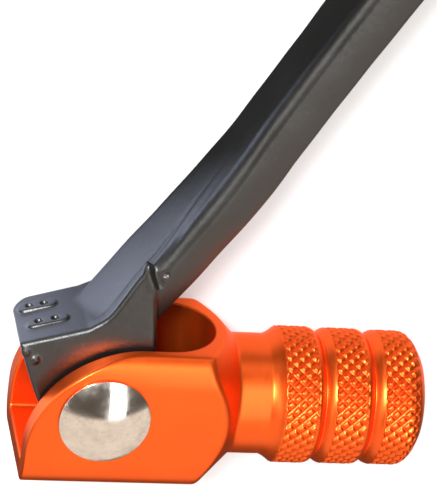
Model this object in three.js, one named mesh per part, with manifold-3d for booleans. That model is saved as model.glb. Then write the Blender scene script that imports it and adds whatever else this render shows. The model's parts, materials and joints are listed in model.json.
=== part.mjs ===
// Motorcycle gear shift lever with a folding toe tip. Millimetres, +Z up.
// Origin: centre of the splined bore in the hub. +X runs outboard along the toe tip.
// +Z is the direction of the tip's pivot pin, domed head on top.
import * as THREE from 'three';
import { mergeVertices } from 'three/addons/utils/BufferGeometryUtils.js';
import Module from 'manifold-3d';

const wasm = await Module();
wasm.setup();

// ---------------------------------------------------------------- driving dimensions
// Place of the toe tip: the middle of its open end, on its own turning axis.
const TIP = { x: -57.5, y: -138, z: -2.4 };
// Pivot pin, measured from TIP.
const PIN = { x: 10.25, y: 0.9 };

// Toe tip, turned from bar and milled to a fork at one end.
const BAR_R = 13;
const BLOCK_H = 20.4;
const BLOCK_T = 20.2;
const CONE_START = 24.3;
const NECK_START = 29;
const NECK_R = 8.35;
const FLARE_START = 33.6;
const RING_STARTS = [35.4, 42.4, 49.4];
const RING_ENDS = [39.4, 46.3, 52.9];
const RING_RADII = [9.5, 9.45, 9.4];
const GROOVE_R = 8.55;
const TIP_LENGTH = 55.4;
const SLOT_HALF = 6.95;
const SLOT_FLOOR = -7.55;
const SLOT_END = 18.8;
const RELIEF = { x: 16, y: -4.9, rx: 16, ry: 15.1 };
const PIN_HOLE_R = 3.6;

// Boss of the lever that sits in the fork.
const BOSS_HALF = 6.3;
const BOSS_EDGE_ROUND = 0.8;
const CHEEK_T = 2.4;
const BOSS_ROUND_R = 8.1;
const BOSS_TILT = THREE.MathUtils.degToRad(21.4);
const BOSS_END = 1.9;
const HEEL_Y = -7.2;

// Arm section: width along the pin direction, thickness across it, and its twist.
const ARM_WIDTH = [10.3, 12.4];
const ARM_THICK = [6.6, 7.1, 8.4];
const ARM_CORNER = 1.9;
const ARM_TWIST = THREE.MathUtils.degToRad(15);
const TWIST_RUN = [18, 46];

// Hub, bore and pinch clamp.
const HUB_R = 12.5;
const HUB_LENGTH = 17;
const BORE_TEETH = 30;
const BORE_TIP_R = 6.05;
const BORE_ROOT_R = 6.55;
const CLAMP_Y = 12.2;
const CLAMP_R = 6.3;
const CLAMP_HALF = 8.5;
const CLAMP_GAP = 1.6;
const SPOT_FACE_R = 6.8;

// Pivot stack.
const SPRING_POCKET_R = 6.7;
const SPRING_POCKET_DEPTH = 6.9;
const BUSH_R = 4.75;
const WASHER_T = 0.4;
const SHANK_R = 3.5;
const HEAD_R = 6.2;
const HEAD_H = 1.9;
const TAIL_RECESS_R = 5.3;
const TAIL_RECESS = 1.6;

// ---------------------------------------------------------------- helpers
function toSolid(geometry) {
  const bare = geometry.clone();
  bare.deleteAttribute('normal');
  bare.deleteAttribute('uv');
  const merged = mergeVertices(bare, 1e-4);
  const index = merged.index.array;
  const triangles = [];
  for (let i = 0; i < index.length; i += 3) {
    const [a, b, c] = [index[i], index[i + 1], index[i + 2]];
    if (a !== b && b !== c && c !== a) triangles.push(a, b, c);
  }
  const mesh = new wasm.Mesh({
    numProp: 3,
    vertProperties: new Float32Array(merged.attributes.position.array),
    triVerts: new Uint32Array(triangles),
  });
  return new wasm.Manifold(mesh);
}

function toMesh(name, solid, colour, roughness, metalness) {
  const data = solid.simplify(0.004).getMesh();
  const geometry = new THREE.BufferGeometry();
  geometry.setAttribute('position', new THREE.BufferAttribute(new Float32Array(data.vertProperties), 3));
  geometry.setIndex(new THREE.BufferAttribute(new Uint32Array(data.triVerts), 1));
  geometry.computeVertexNormals();
  const material = new THREE.MeshStandardMaterial({ color: colour, roughness, metalness });
  material.name = `${name}_material`;
  const mesh = new THREE.Mesh(geometry, material);
  mesh.name = name;
  return mesh;
}

// A closed turning profile of [radius, height] pairs about +Y.
function turned(profile, segments = 40) {
  const points = profile.map(([r, y]) => new THREE.Vector2(r, y));
  return new THREE.LatheGeometry(points, segments);
}

// The same profile turned about +X, with height running along +X.
function turnedX(profile, segments = 40) {
  return toSolid(turned(profile, segments).rotateZ(-Math.PI / 2));
}

// The same profile turned about +Z, with height running along +Z.
function turnedZ(profile, segments = 40) {
  return toSolid(turned(profile, segments).rotateX(Math.PI / 2));
}

function disc(radius, from, to, segments = 40) {
  return turnedZ([[0, from], [radius, from], [radius, to], [0, to]], segments);
}

function box(x0, x1, y0, y1, z0, z1) {
  const geometry = new THREE.BoxGeometry(x1 - x0, y1 - y0, z1 - z0);
  geometry.translate((x0 + x1) / 2, (y0 + y1) / 2, (z0 + z1) / 2);
  return toSolid(geometry);
}

function slab(shape, half, curveSegments = 14) {
  const geometry = new THREE.ExtrudeGeometry(shape, {
    depth: 2 * half,
    bevelEnabled: false,
    curveSegments,
  });
  geometry.translate(0, 0, -half);
  return geometry;
}

// Points of a quarter-round going from one height to another on a turned profile.
function shoulder(x0, r0, x1, r1, bulge, steps = 5) {
  const points = [];
  for (let i = 1; i <= steps; i += 1) {
    const t = i / steps;
    const lift = bulge * Math.sin(Math.PI * t);
    points.push([r0 + (r1 - r0) * t + lift, x0 + (x1 - x0) * t]);
  }
  return points;
}

// ---------------------------------------------------------------- toe tip
function tipProfile() {
  const profile = [
    [0, 0], [BAR_R, 0], [BAR_R, CONE_START],
    [NECK_R + 0.35, CONE_START + BAR_R - NECK_R - 0.35],
    [NECK_R, NECK_START], [NECK_R, FLARE_START],
    ...shoulder(FLARE_START, NECK_R, RING_STARTS[0], RING_RADII[0], -0.12, 3),
  ];
  RING_RADII.forEach((radius, i) => {
    const last = i === RING_RADII.length - 1;
    profile.push([radius, RING_ENDS[i]]);
    if (last) {
      profile.push(...shoulder(RING_ENDS[i], radius, TIP_LENGTH, radius - 2.6, 0.62, 5));
      profile.push([0, TIP_LENGTH]);
      return;
    }
    const middle = RING_ENDS[i] + 1.62;
    profile.push(...shoulder(RING_ENDS[i], radius, middle, GROOVE_R, 0.22, 3));
    profile.push(...shoulder(middle, GROOVE_R, RING_STARTS[i + 1], RING_RADII[i + 1], 0.16, 3));
  });
  return profile;
}

function slotSolid() {
  const plan = new THREE.Shape();
  plan.moveTo(-2, -SLOT_HALF);
  plan.lineTo(SLOT_END, -SLOT_HALF);
  plan.absarc(SLOT_END, 0, SLOT_HALF, -Math.PI / 2, Math.PI / 2, false);
  plan.lineTo(-2, SLOT_HALF);
  plan.closePath();
  const geometry = slab(plan, 12, 20);
  geometry.rotateX(-Math.PI / 2);
  geometry.translate(0, SLOT_FLOOR + 12, 0);
  return toSolid(geometry);
}

function reliefSolid() {
  const side = new THREE.Shape();
  side.moveTo(-2, RELIEF.y);
  side.lineTo(RELIEF.x - RELIEF.rx, RELIEF.y);
  side.absellipse(RELIEF.x, RELIEF.y, RELIEF.rx, RELIEF.ry, Math.PI, Math.PI / 2, true);
  side.lineTo(RELIEF.x, 16);
  side.lineTo(-2, 16);
  side.closePath();
  return toSolid(slab(side, 16, 18));
}

function tipBody() {
  const half = BLOCK_T / 2;
  return turnedX(tipProfile(), 60)
    .intersect(box(-1, TIP_LENGTH + 1, -BLOCK_H / 2, BLOCK_H / 2, -half, half))
    .subtract(slotSolid())
    .subtract(reliefSolid())
    .subtract(disc(PIN_HOLE_R, -20, 20).translate(PIN.x, PIN.y, 0))
    .subtract(disc(TAIL_RECESS_R, -half - 1, -half + TAIL_RECESS).translate(PIN.x, PIN.y, 0))
    .subtract(springLegHole());
}

// Blind hole in the inner face of the lower ear that takes one leg of the return spring.
function springLegHole() {
  const angle = THREE.MathUtils.degToRad(-60);
  const x = PIN.x + SPRING_R * Math.cos(angle);
  const y = PIN.y + SPRING_R * Math.sin(angle);
  return disc(SPRING_WIRE_R + 0.25, -SLOT_HALF - 1.6, -SLOT_HALF + 1, 20).translate(x, y, 0);
}

// ---------------------------------------------------------------- lever: boss, arm, hub
// Side outline of the boss. The cheek on the upper side sweeps up beside the arm.
function bossShape(hasSweep) {
  const shape = new THREE.Shape();
  shape.moveTo(5, HEEL_Y);
  shape.lineTo(PIN.x, HEEL_Y);
  shape.absarc(PIN.x, PIN.y, BOSS_ROUND_R, -Math.PI / 2, THREE.MathUtils.degToRad(32), false);
  shape.lineTo(16.7, 10.6);
  shape.lineTo(16, 16);
  if (hasSweep) {
    shape.lineTo(15.5, 19.6);
    shape.lineTo(14.1, 22.3);
    shape.splineThru([
      new THREE.Vector2(12.6, 19.8),
      new THREE.Vector2(11.1, 16.9),
      new THREE.Vector2(9.5, 14.3),
      new THREE.Vector2(7.2, 12.6),
    ]);
  } else {
    shape.lineTo(15.2, 18.6);
    shape.lineTo(13.4, 17.8);
    shape.lineTo(9.8, 13.9);
    shape.lineTo(7.2, 12.6);
  }
  shape.lineTo(-1.75, 9.9);
  shape.lineTo(-0.5, 5.6);
  shape.lineTo(1.8, 0.6);
  shape.lineTo(3.7, -4.2);
  shape.closePath();
  return shape;
}

// Plan of the boss end: tight corner on the upper side, generous corner on the lower side.
function bossEndMask() {
  const plan = new THREE.Shape();
  const tight = 1.1;
  const wide = 4;
  plan.moveTo(BOSS_END + 30, -BOSS_HALF);
  plan.lineTo(BOSS_END + 30, BOSS_HALF);
  plan.lineTo(BOSS_END + tight, BOSS_HALF);
  plan.absarc(BOSS_END + tight, BOSS_HALF - tight, tight, Math.PI / 2, Math.PI, false);
  plan.lineTo(BOSS_END, -BOSS_HALF + wide);
  plan.absarc(BOSS_END + wide, -BOSS_HALF + wide, wide, Math.PI, 1.5 * Math.PI, false);
  plan.closePath();
  const geometry = slab(plan, 40, 12);
  geometry.rotateX(Math.PI / 2);
  geometry.rotateZ(BOSS_TILT);
  return toSolid(geometry);
}

function bossSolid() {
  const block = toSolid(roundedSlab(bossShape(false), BOSS_HALF, BOSS_EDGE_ROUND));
  const cheek = toSolid(roundedSlab(bossShape(true), CHEEK_T / 2, BOSS_EDGE_ROUND))
    .translate(0, 0, BOSS_HALF - CHEEK_T / 2);
  return block.add(cheek).intersect(bossEndMask());
}

// Unit vector at a corner of a closed outline that points into the outline, mitred.
function inwardAt(points, i) {
  const count = points.length;
  const before = points[(i + count - 1) % count];
  const here = points[i];
  const after = points[(i + 1) % count];
  const a = new THREE.Vector2().subVectors(here, before).normalize();
  const b = new THREE.Vector2().subVectors(after, here).normalize();
  const normal = new THREE.Vector2(-a.y - b.y, a.x + b.x).normalize();
  const mitre = Math.max(0.5, normal.dot(new THREE.Vector2(-a.y, a.x)));
  return normal.divideScalar(mitre);
}

// An outline extruded both ways, with its two rims rounded.
function roundedSlab(shape, half, round) {
  const flat = shape.getPoints(9);
  if (flat[0].distanceTo(flat[flat.length - 1]) < 1e-6) flat.pop();
  const sign = THREE.ShapeUtils.isClockWise(flat) ? -1 : 1;
  const inward = new Map();
  const key = (x, y) => `${x.toFixed(3)},${y.toFixed(3)}`;
  flat.forEach((point, i) => inward.set(key(point.x, point.y), inwardAt(flat, i).multiplyScalar(sign)));
  const angles = [90, 45, 0].map((degrees) => THREE.MathUtils.degToRad(degrees));
  const rim = angles.map((a) => [half - round * (1 - Math.sin(a)), round * (1 - Math.cos(a))]);
  const layers = [...rim.map(([z, inset]) => [-z, inset]), ...rim.reverse()];
  const geometry = new THREE.ExtrudeGeometry(new THREE.Shape(flat), {
    depth: layers.length - 1,
    steps: layers.length - 1,
    bevelEnabled: false,
  });
  const position = geometry.attributes.position;
  for (let i = 0; i < position.count; i += 1) {
    const [z, inset] = layers[Math.round(position.getZ(i))];
    const move = inward.get(key(position.getX(i), position.getY(i)));
    position.setXYZ(i, position.getX(i) + move.x * inset, position.getY(i) + move.y * inset, z);
  }
  return geometry;
}

function roundedRectangle(width, height, radius) {
  const [w, h] = [width / 2, height / 2];
  const shape = new THREE.Shape();
  shape.moveTo(-w + radius, -h);
  shape.lineTo(w - radius, -h);
  shape.absarc(w - radius, -h + radius, radius, -Math.PI / 2, 0, false);
  shape.lineTo(w, h - radius);
  shape.absarc(w - radius, h - radius, radius, 0, Math.PI / 2, false);
  shape.lineTo(-w + radius, h);
  shape.absarc(-w + radius, h - radius, radius, Math.PI / 2, Math.PI, false);
  shape.lineTo(-w, -h + radius);
  shape.absarc(-w + radius, -h + radius, radius, Math.PI, 1.5 * Math.PI, false);
  shape.closePath();
  return shape;
}

// Centre line of the arm, bowed outboard between the boss and the hub.
function armCurve() {
  return new THREE.CatmullRomCurve3([
    new THREE.Vector3(7.9, 6.8, 0.6),
    new THREE.Vector3(12.4, 14, 0.6),
    new THREE.Vector3(19.1, 24, 0.6),
    new THREE.Vector3(25.5, 34, 0.7),
    new THREE.Vector3(30.9, 44, 0.8),
    new THREE.Vector3(36.2, 54, 0.9),
    new THREE.Vector3(42.5, 66, 1.2),
    new THREE.Vector3(49, 80, 1.5),
    new THREE.Vector3(54.2, 95, 1.8),
    new THREE.Vector3(56.8, 110, 2.1),
    new THREE.Vector3(57.5, 122, 2.3),
    new THREE.Vector3(57.5, 131, 2.4),
  ], false, 'centripetal');
}

function armThickness(t) {
  const near = Math.max(0, 1 - t / 0.35);
  const far = Math.max(0, (t - 0.35) / 0.65);
  return ARM_THICK[1] + (ARM_THICK[0] - ARM_THICK[1]) * near + (ARM_THICK[2] - ARM_THICK[1]) * far;
}

// A straight bar of unit length, drawn on to the centre line station by station.
function armSolid() {
  const [baseWidth, baseThick] = [ARM_WIDTH[0], ARM_THICK[1]];
  const shape = roundedRectangle(baseWidth, baseThick, ARM_CORNER);
  const bar = new THREE.ExtrudeGeometry(shape, {
    depth: 1,
    steps: 28,
    bevelEnabled: false,
    curveSegments: 4,
  });
  const curve = armCurve();
  const up = new THREE.Vector3(0, 0, 1);
  const position = bar.attributes.position;
  for (let i = 0; i < position.count; i += 1) {
    const t = THREE.MathUtils.clamp(position.getZ(i), 0, 1);
    const tangent = curve.getTangentAt(t);
    const across = new THREE.Vector3().crossVectors(up, tangent).normalize();
    const rise = new THREE.Vector3().crossVectors(tangent, across);
    const centre = curve.getPointAt(t);
    const twist = ARM_TWIST * (1 - THREE.MathUtils.smoothstep(centre.y, ...TWIST_RUN));
    const wide = position.getX(i) * (1 + (ARM_WIDTH[1] / baseWidth - 1) * t);
    const thick = position.getY(i) * (armThickness(t) / baseThick);
    const alongRise = wide * Math.cos(twist) + thick * Math.sin(twist);
    const alongAcross = thick * Math.cos(twist) - wide * Math.sin(twist);
    const point = centre
      .addScaledVector(rise, alongRise)
      .addScaledVector(across, alongAcross);
    position.setXYZ(i, point.x, point.y, point.z);
  }
  return outward(toSolid, bar);
}

// Turns the faces of a mapped geometry outward if the mapping mirrored them.
function outward(build, geometry) {
  const solid = build(geometry);
  if (solid.volume() > 0) return solid;
  const flipped = geometry.index ? geometry.toNonIndexed() : geometry.clone();
  const array = flipped.attributes.position.array;
  for (let i = 0; i < array.length; i += 9) {
    for (let k = 0; k < 3; k += 1) {
      const keep = array[i + 3 + k];
      array[i + 3 + k] = array[i + 6 + k];
      array[i + 6 + k] = keep;
    }
  }
  return build(flipped);
}

function boreSolid() {
  const shape = new THREE.Shape();
  const pitch = (2 * Math.PI) / BORE_TEETH;
  for (let i = 0; i < BORE_TEETH; i += 1) {
    const root = i * pitch;
    const tip = root + pitch / 2;
    const [rx, ry] = [BORE_ROOT_R * Math.cos(root), BORE_ROOT_R * Math.sin(root)];
    if (i === 0) shape.moveTo(rx, ry);
    else shape.lineTo(rx, ry);
    shape.lineTo(BORE_TIP_R * Math.cos(tip), BORE_TIP_R * Math.sin(tip));
  }
  shape.closePath();
  return toSolid(slab(shape, 20).rotateY(Math.PI / 2));
}

function hubSolid() {
  const half = HUB_LENGTH / 2;
  const chamfer = 1.1;
  const barrel = turnedX([
    [0, -half], [HUB_R - chamfer, -half], [HUB_R, -half + chamfer],
    [HUB_R, half - chamfer], [HUB_R - chamfer, half], [0, half],
  ], 56);
  const lugs = turnedZ([
    [0, -CLAMP_HALF], [CLAMP_R - 0.6, -CLAMP_HALF], [CLAMP_R, -CLAMP_HALF + 0.6],
    [CLAMP_R, CLAMP_HALF - 0.6], [CLAMP_R - 0.6, CLAMP_HALF], [0, CLAMP_HALF],
  ], 32).translate(0, CLAMP_Y, 0);
  const web = box(-CLAMP_R + 0.6, CLAMP_R - 0.6, 4, CLAMP_Y, -CLAMP_HALF, CLAMP_HALF);
  return barrel.add(web).add(lugs);
}

function hubCuts() {
  const half = HUB_LENGTH / 2;
  const lead = turnedX([
    [0, -half - 1], [BORE_ROOT_R + 1.9, -half - 1], [BORE_TIP_R, -half + 1.4],
    [BORE_TIP_R, half - 1.4], [BORE_ROOT_R + 1.9, half + 1], [0, half + 1],
  ], 60);
  return boreSolid()
    .add(lead)
    .add(box(-20, 20, 0, 25, -CLAMP_GAP / 2, CLAMP_GAP / 2))
    .add(disc(3.3, 0, 20, 32).translate(0, CLAMP_Y, 0))
    .add(disc(3.15, -20, 0.1, 32).translate(0, CLAMP_Y, 0))
    .add(disc(SPOT_FACE_R, CLAMP_HALF, 20, 48).translate(0, CLAMP_Y, 0));
}

function pivotCuts() {
  const bore = disc(BUSH_R + 0.06, -20, 20);
  const pocket = disc(SPRING_POCKET_R, -BOSS_HALF - 1, -BOSS_HALF + SPRING_POCKET_DEPTH);
  const leg = disc(SPRING_WIRE_R + 0.25, -1, SPRING_TOP + 2.4, 20)
    .translate(SPRING_R * Math.cos(LEG_TOP_ANGLE), SPRING_R * Math.sin(LEG_TOP_ANGLE), 0);
  return bore.add(pocket).add(leg).translate(PIN.x, PIN.y, 0);
}

function leverArm() {
  const foot = bossSolid().add(armSolid()).subtract(pivotCuts());
  return foot.translate(TIP.x, TIP.y, TIP.z).add(hubSolid()).subtract(hubCuts());
}

// ---------------------------------------------------------------- pivot parts
const SPRING_WIRE_R = 0.7;
const SPRING_R = 5.55;
const SPRING_TURNS = 3.5;
const SPRING_TOP = BOSS_HALF * -1 + SPRING_POCKET_DEPTH - SPRING_WIRE_R - 0.25;
const SPRING_BOTTOM = -SLOT_HALF + 1.15;
const LEG_BOTTOM_ANGLE = THREE.MathUtils.degToRad(-60);
const LEG_TOP_ANGLE = LEG_BOTTOM_ANGLE + SPRING_TURNS * 2 * Math.PI;

class SpringCurve extends THREE.Curve {
  getPoint(t, target = new THREE.Vector3()) {
    const leg = 0.05;
    const bottom = SPRING_BOTTOM;
    const top = SPRING_TOP;
    if (t < leg) {
      const z = bottom - 2.2 * (1 - t / leg);
      const [x, y] = [SPRING_R * Math.cos(LEG_BOTTOM_ANGLE), SPRING_R * Math.sin(LEG_BOTTOM_ANGLE)];
      return target.set(x, y, z);
    }
    if (t > 1 - leg) {
      const z = top + 2.2 * ((t - 1 + leg) / leg);
      const [x, y] = [SPRING_R * Math.cos(LEG_TOP_ANGLE), SPRING_R * Math.sin(LEG_TOP_ANGLE)];
      return target.set(x, y, z);
    }
    const s = (t - leg) / (1 - 2 * leg);
    const angle = LEG_BOTTOM_ANGLE + s * SPRING_TURNS * 2 * Math.PI;
    return target.set(SPRING_R * Math.cos(angle), SPRING_R * Math.sin(angle), bottom + (top - bottom) * s);
  }
}

function returnSpring() {
  const wire = new THREE.Shape();
  wire.absarc(0, 0, SPRING_WIRE_R, 0, 2 * Math.PI, false);
  const geometry = new THREE.ExtrudeGeometry(wire, {
    steps: 84,
    extrudePath: new SpringCurve(),
    curveSegments: 3,
    bevelEnabled: false,
  });
  geometry.translate(PIN.x, PIN.y, 0);
  return outward(toSolid, geometry);
}

function pivotRivet() {
  const top = BLOCK_T / 2;
  const dome = [];
  const steps = 6;
  const sphere = (HEAD_R ** 2 + HEAD_H ** 2) / (2 * HEAD_H);
  for (let i = 0; i <= steps; i += 1) {
    const r = HEAD_R * (1 - i / steps);
    dome.push([r, top + HEAD_H - sphere + Math.sqrt(sphere ** 2 - r ** 2) + 0.02]);
  }
  const tail = -top + 0.1;
  return turnedZ([
    [0, tail], [3.7, tail], [4.3, tail + 0.3], [4.3, tail + 0.75],
    [SHANK_R, tail + 0.75], [SHANK_R, top + 0.02], [HEAD_R, top + 0.02],
    ...dome.slice(1),
  ], 48).translate(PIN.x, PIN.y, 0);
}

function ring(outer, inner, from, to) {
  return turnedZ([[inner, from], [outer, from], [outer, to], [inner, to], [inner, from]])
    .translate(PIN.x, PIN.y, 0);
}

function rivetWasher() {
  const seat = -BLOCK_T / 2 + TAIL_RECESS;
  return ring(TAIL_RECESS_R - 0.2, SHANK_R + 0.1, seat - 0.67, seat - 0.03);
}

function pivotBush() {
  return ring(BUSH_R, SHANK_R + 0.06, -BOSS_HALF + SPRING_POCKET_DEPTH + 0.05, BOSS_HALF);
}

function thrustWasher(side) {
  const middle = side * (SLOT_HALF + BOSS_HALF) / 2;
  const inner = SHANK_R + 0.2;
  const outer = side > 0 ? 6.6 : 4.6;
  return ring(outer, inner, middle - WASHER_T / 2, middle + WASHER_T / 2);
}

// ---------------------------------------------------------------- pinch clamp parts
function pinchBolt() {
  const seat = CLAMP_HALF + 1.3;
  const flange = seat + 1.3;
  const headTop = flange + 4.4;
  const hex = new THREE.CylinderGeometry(4.62, 4.62, headTop - seat, 6);
  hex.rotateX(Math.PI / 2);
  hex.translate(0, 0, (headTop + seat) / 2);
  const crown = turnedZ([[0, seat], [6.2, seat], [6.2, seat + 3.2], [3.6, headTop], [0, headTop]], 48);
  const skirt = turnedZ([[0, seat], [6, seat], [6, seat + 0.5], [4.2, flange + 0.4], [0, flange + 0.4]], 48);
  const dish = turnedZ([[0, headTop - 0.7], [2.4, headTop - 0.7], [2.9, headTop + 1], [0, headTop + 1]], 32);
  const shank = turnedZ([
    [0, -CLAMP_HALF + 0.5], [2.4, -CLAMP_HALF + 0.5], [3, -CLAMP_HALF + 1.1],
    [3, seat + 0.1], [0, seat + 0.1],
  ], 32);
  return toSolid(hex).intersect(crown).add(skirt).subtract(dish).add(shank).translate(0, CLAMP_Y, 0);
}

function pinchWasher() {
  return turnedZ([
    [3.2, CLAMP_HALF + 0.05], [5.9, CLAMP_HALF + 0.05], [5.9, CLAMP_HALF + 1.25],
    [3.2, CLAMP_HALF + 1.25], [3.2, CLAMP_HALF + 0.05],
  ], 48).translate(0, CLAMP_Y, 0);
}

// ---------------------------------------------------------------- assembly
const part = new THREE.Group();
part.name = 'gear_shift_lever';

function addAtTip(name, solid, colour, roughness, metalness) {
  part.add(toMesh(name, solid.translate(TIP.x, TIP.y, TIP.z), colour, roughness, metalness));
}

part.add(toMesh('lever_arm', leverArm(), 0x24262a, 0.4, 0.2));
addAtTip('tip_body', tipBody(), 0xff5a14, 0.35, 0.8);
addAtTip('pivot_rivet', pivotRivet(), 0xd8d0c6, 0.25, 1);
addAtTip('rivet_washer', rivetWasher(), 0xb8b8b8, 0.4, 1);
addAtTip('pivot_bush', pivotBush(), 0xb08040, 0.5, 1);
addAtTip('thrust_washer_upper', thrustWasher(1), 0xa8a8a8, 0.4, 1);
addAtTip('thrust_washer_lower', thrustWasher(-1), 0xa8a8a8, 0.4, 1);
addAtTip('return_spring', returnSpring(), 0x606468, 0.35, 1);
part.add(toMesh('pinch_bolt', pinchBolt(), 0xc8ccd0, 0.3, 1));
part.add(toMesh('pinch_washer', pinchWasher(), 0xb0b4b8, 0.4, 1));

export default part;
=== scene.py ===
"""Motorcycle gear shift lever with a folding toe tip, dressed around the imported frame.

Shapes are written in millimetres in the tip's own frame: x along the toe tip from its open
end, y from the tip toward the hub, z along the pivot rivet. metres() moves them to the row
frame. Milled and forged shapes are distance fields that surface_mesh() turns into quads.
"""
import json

import bpy
import numpy as np
from mathutils import Matrix, Vector


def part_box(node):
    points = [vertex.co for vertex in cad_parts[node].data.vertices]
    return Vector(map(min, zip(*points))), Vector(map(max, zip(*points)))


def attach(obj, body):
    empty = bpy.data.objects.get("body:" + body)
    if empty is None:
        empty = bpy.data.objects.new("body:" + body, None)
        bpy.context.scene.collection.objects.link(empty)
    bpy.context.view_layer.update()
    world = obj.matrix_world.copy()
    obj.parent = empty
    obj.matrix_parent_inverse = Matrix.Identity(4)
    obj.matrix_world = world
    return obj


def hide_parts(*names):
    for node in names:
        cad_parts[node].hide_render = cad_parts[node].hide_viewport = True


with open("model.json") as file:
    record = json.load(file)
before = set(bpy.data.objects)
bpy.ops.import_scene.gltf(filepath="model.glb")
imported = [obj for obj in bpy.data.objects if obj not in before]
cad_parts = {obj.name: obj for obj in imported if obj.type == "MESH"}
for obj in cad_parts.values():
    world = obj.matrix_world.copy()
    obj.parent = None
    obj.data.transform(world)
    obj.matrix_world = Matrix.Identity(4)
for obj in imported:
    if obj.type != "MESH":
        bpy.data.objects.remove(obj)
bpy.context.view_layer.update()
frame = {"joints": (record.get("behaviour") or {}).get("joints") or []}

MM = 0.001
FINE = 0.15
TIP_LOW, TIP_HIGH = (np.array(corner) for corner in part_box("tip_body"))
TIP_ORIGIN = np.array([TIP_LOW[0], *(TIP_LOW[1:] + TIP_HIGH[1:]) / 2])
PIN = (np.array(frame["joints"][0]["pos_m"]) - TIP_ORIGIN) / MM
HUB = -TIP_ORIGIN / MM

# Toe tip.
BAR_R, BLOCK_H, BLOCK_T = 13.0, 20.4, 20.2
CONE_START, NECK_R, NECK_START, FLARE_START = 24.3, 8.35, 28.55, 33.6
RINGS = ((35.4, 39.4, 9.5), (42.4, 46.3, 9.45), (49.4, 52.9, 9.4))
GROOVE_R, GROOVE_RUN, TIP_LENGTH = 8.55, 1.62, 55.4
SLOT_HALF, SLOT_FLOOR, SLOT_END = 6.95, -7.55, 18.8
RELIEF_X, RELIEF_Y, RELIEF_RX, RELIEF_RY = 16.0, -4.9, 16.0, 15.1
PIN_HOLE_R, TAIL_RECESS_R, TAIL_RECESS = 3.6, 5.3, 1.6
KNURL_TEETH, KNURL_DEPTH = 34, 0.4

# Boss, arm and hub.
BOSS_HALF, BOSS_ROUND_R, HEEL_Y, BOSS_END = 6.3, 8.1, -7.2, 1.9
BOSS_TILT = np.radians(21.4)
CHEEK_T = 2.4
ARM_WIDTH, ARM_THICK, ARM_CORNER = (10.3, 12.4), (6.6, 7.1, 8.4), 1.9
ARM_CROWN, TOP_FALL = 0.22, 0.75
ARM_TWIST, TWIST_RUN = np.radians(15), (18.0, 46.0)
HUB_R, HUB_LENGTH, BORE_TEETH, BORE_TIP_R, BORE_ROOT_R = 12.5, 17.0, 30, 6.05, 6.55
CLAMP_Y, CLAMP_R, CLAMP_HALF, CLAMP_GAP, SPOT_FACE_R = 12.2, 6.3, 8.5, 1.6, 6.8

# Pivot parts.
SPRING_POCKET_R, SPRING_POCKET_DEPTH = 6.7, 6.9
SPRING_WIRE_R, SPRING_R, SPRING_TURNS = 0.7, 5.55, 3.5
BUSH_R, SHANK_R, HEAD_R, HEAD_H, WASHER_T = 4.75, 3.5, 6.2, 1.9, 0.4

# Stage, in metres.
STAGE_HALF, FLOOR_GAP, TABLE_LIFT = 1.6, 0.0001, 0.00002


# ------------------------------------------------------------------ distance fields
def union(a, b, blend=0.01):
    """Either shape, with a fillet where they meet."""
    overlap = np.maximum(blend - np.abs(a - b), 0) / blend
    return np.minimum(a, b) - overlap * overlap * blend / 4


def both(a, b, blend=0.01):
    """What two shapes share, with the edge between them eased."""
    return -union(-a, -b, blend)


def cut(a, b, blend=0.01):
    """Shape a without shape b, with the rim eased."""
    return -union(-a, b, blend)


def capsule(p, a, b, radius):
    """A round-ended rod from a to b."""
    a, b = np.array(a, float), np.array(b, float)
    along = np.clip((p - a) @ (b - a) / ((b - a) @ (b - a)), 0, 1)
    return np.linalg.norm(p - a - along[:, None] * (b - a), axis=1) - radius


def polygon(x, y, corners):
    """Distance to a closed outline, negative inside."""
    nearest = np.full(x.shape, np.inf)
    inside = np.zeros(x.shape, bool)
    for (ax, ay), (bx, by) in zip(corners, np.roll(corners, -1, axis=0)):
        ex, ey = bx - ax, by - ay
        wx, wy = x - ax, y - ay
        t = np.clip((wx * ex + wy * ey) / (ex * ex + ey * ey), 0, 1)
        nearest = np.minimum(nearest, (wx - t * ex) ** 2 + (wy - t * ey) ** 2)
        crosses = (ay > y) != (by > y)
        if abs(ey) > 1e-12:
            inside ^= crosses & (x < ax + (y - ay) / ey * ex)
    return np.where(inside, -1, 1) * np.sqrt(nearest)


def arc(centre, radius, start, end, count):
    """Points on a circle, angles in degrees."""
    angles = np.radians(np.linspace(start, end, count))
    return [(centre[0] + radius * np.cos(a), centre[1] + radius * np.sin(a)) for a in angles]


def hermite(points, samples):
    """A smooth curve through the points, evenly sampled along its chords."""
    points = np.array(points, float)
    chord = np.concatenate([[0], np.cumsum(np.linalg.norm(np.diff(points, axis=0), axis=1))])
    slope = np.gradient(points, chord, axis=0)
    s = np.linspace(0, chord[-1], samples)
    i = np.clip(np.searchsorted(chord, s, side="right") - 1, 0, len(chord) - 2)
    h = chord[i + 1] - chord[i]
    t = ((s - chord[i]) / h)[:, None]
    h = h[:, None]
    return (
        (2 * t**3 - 3 * t**2 + 1) * points[i]
        + (t**3 - 2 * t**2 + t) * h * slope[i]
        + (3 * t**2 - 2 * t**3) * points[i + 1]
        + (t**3 - t**2) * h * slope[i + 1]
    )


def waviness(p, amplitude, wavelength, seed):
    """Smooth, repeatable unevenness, as on a forging."""
    rng = np.random.default_rng(seed)
    total = np.zeros(len(p))
    for _ in range(6):
        direction = rng.normal(size=3)
        direction *= 2 * np.pi / (wavelength * rng.uniform(0.7, 1.6)) / np.linalg.norm(direction)
        total += np.sin(p @ direction + rng.uniform(0, 6.28))
    return total * amplitude / 2.5


# ------------------------------------------------------------------ meshes from fields
CORNERS = np.array([(i, j, k) for i in (0, 1) for j in (0, 1) for k in (0, 1)])
CELL_EDGES = [
    (a, b) for a in range(8) for b in range(a + 1, 8) if np.abs(CORNERS[a] - CORNERS[b]).sum() == 1
]
BLOCK = 8


def evaluate(field, points, batch=400_000):
    return np.concatenate([field(points[i : i + batch]) for i in range(0, len(points), batch)])


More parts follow.
